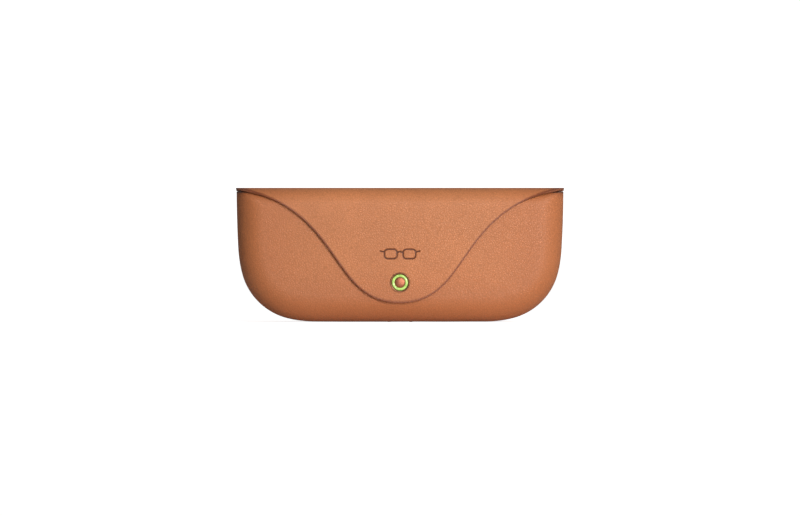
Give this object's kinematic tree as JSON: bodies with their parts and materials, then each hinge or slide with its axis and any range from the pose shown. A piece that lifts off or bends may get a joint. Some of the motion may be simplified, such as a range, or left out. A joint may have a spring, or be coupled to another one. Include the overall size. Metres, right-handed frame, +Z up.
{
  "type": "smart glasses charging case",
  "caption": "Leather-wrapped charging case for smart glasses, with a snap-down flap, a charge light ring and a charging dock.",
  "frame": {"origin": "under the middle of the closed case's bounding box, on the surface it stands on", "axes": "+X to the right seen from the front, +Y to the back, +Z up; the front with the snap faces -Y"},
  "size_m": [0.1642, 0.0566, 0.0673],
  "materials": {
    "leather": "fine pebble grain, satin",
    "leather_lining": "smooth, matt",
    "lining": "microfibre, matt",
    "tub_plastic": "moulded, fine texture",
    "trim_plastic": "satin",
    "black_plastic": "satin",
    "board_material": "solder resist",
    "chip_plastic": "moulded",
    "flex_film": "polyimide film",
    "wire_jacket": "satin",
    "battery_foil": "laminated pouch",
    "foam": "closed-cell foam",
    "steel": "satin",
    "bezel_metal": "dark satin",
    "cap_metal": "satin copper tone",
    "gold_plate": "polished",
    "magnet_plate": "nickel plated",
    "ring_plastic": "clear light pipe, lit green",
    "guide_plastic": "milky light pipe",
    "diode_body": "white ceramic with a clear dome",
    "stiffener": "fibreboard"
  },
  "bodies": {
    "case": {"back_cover": "leather", "battery_connectors": "guide_plastic", "battery_leads": "wire_jacket", "battery_left": "battery_foil", "battery_pads": "foam", "battery_right": "battery_foil", "board_chips": "chip_plastic", "board_screws": "steel", "button_bezel": "bezel_metal", "button_board": "board_material", "button_housing": "black_plastic", "button_ribbon": "flex_film", "button_switch": "chip_plastic", "cavity_lining": "lining", "contact_barrels": "gold_plate", "contact_spring_left": "steel", "contact_spring_right": "steel", "deck": "tub_plastic", "deck_screws": "steel", "dock_board": "board_material", "dock_face": "black_plastic", "dock_magnets": "magnet_plate", "dock_post": "black_plastic", "dock_ribbon": "flex_film", "dock_screws": "steel", "front_cover": "leather", "lid_sensor": "chip_plastic", "light_board": "board_material", "light_diodes": "diode_body", "light_guide": "guide_plastic", "light_housing": "black_plastic", "light_housing_cap": "black_plastic", "light_ribbon": "flex_film", "main_board": "board_material", "mouth_trim": "trim_plastic", "port_bezel": "trim_plastic", "snap_catch": "cap_metal", "snap_magnet": "magnet_plate", "socket_blade": "black_plastic", "socket_contacts": "gold_plate", "socket_shell": "steel", "tub_shell": "tub_plastic"},
    "lid": {"lid_leather": "leather", "lid_board": "stiffener", "lid_magnet": "magnet_plate", "lid_lining": "leather_lining", "rear_hinge_strip": "leather"},
    "tongue": {"tongue_leather": "leather", "tongue_board": "stiffener", "tongue_lining": "leather_lining", "front_fold_strip": "leather", "snap_bezel": "bezel_metal", "snap_light_ring": "ring_plastic", "snap_cap": "cap_metal", "snap_keeper": "steel"},
    "button": {"pairing_button": "cap_metal"},
    "pin_left": {"contact_pin_left": "gold_plate"},
    "pin_right": {"contact_pin_right": "gold_plate"}
  },
  "joints": [
    {"name": "flap_hinge", "type": "hinge", "parent": "case", "child": "lid", "pos_m": [0, 0.02755, 0.06655], "axis": [-1, 0, 0], "range_deg": [0, 190]},
    {"name": "tongue_fold", "type": "hinge", "parent": "lid", "child": "tongue", "pos_m": [0, -0.01775, 0.06655], "axis": [-1, 0, 0], "range_deg": [0, 70]},
    {"name": "button_press", "type": "slide", "parent": "case", "child": "button", "axis": [0, -1, 0], "range_m": [0, 0.0005], "stiffness_N_per_m": 800, "springref_m": -0.0003},
    {"name": "pin_left_press", "type": "slide", "parent": "case", "child": "pin_left", "axis": [0, 1, 0], "range_m": [0, 0.0011], "stiffness_N_per_m": 300, "springref_m": -0.0005, "deforming": ["contact_spring_left"]},
    {"name": "pin_right_press", "type": "slide", "parent": "case", "child": "pin_right", "axis": [0, 1, 0], "range_m": [0, 0.0011], "stiffness_N_per_m": 300, "springref_m": -0.0005, "deforming": ["contact_spring_right"]}
  ]
}
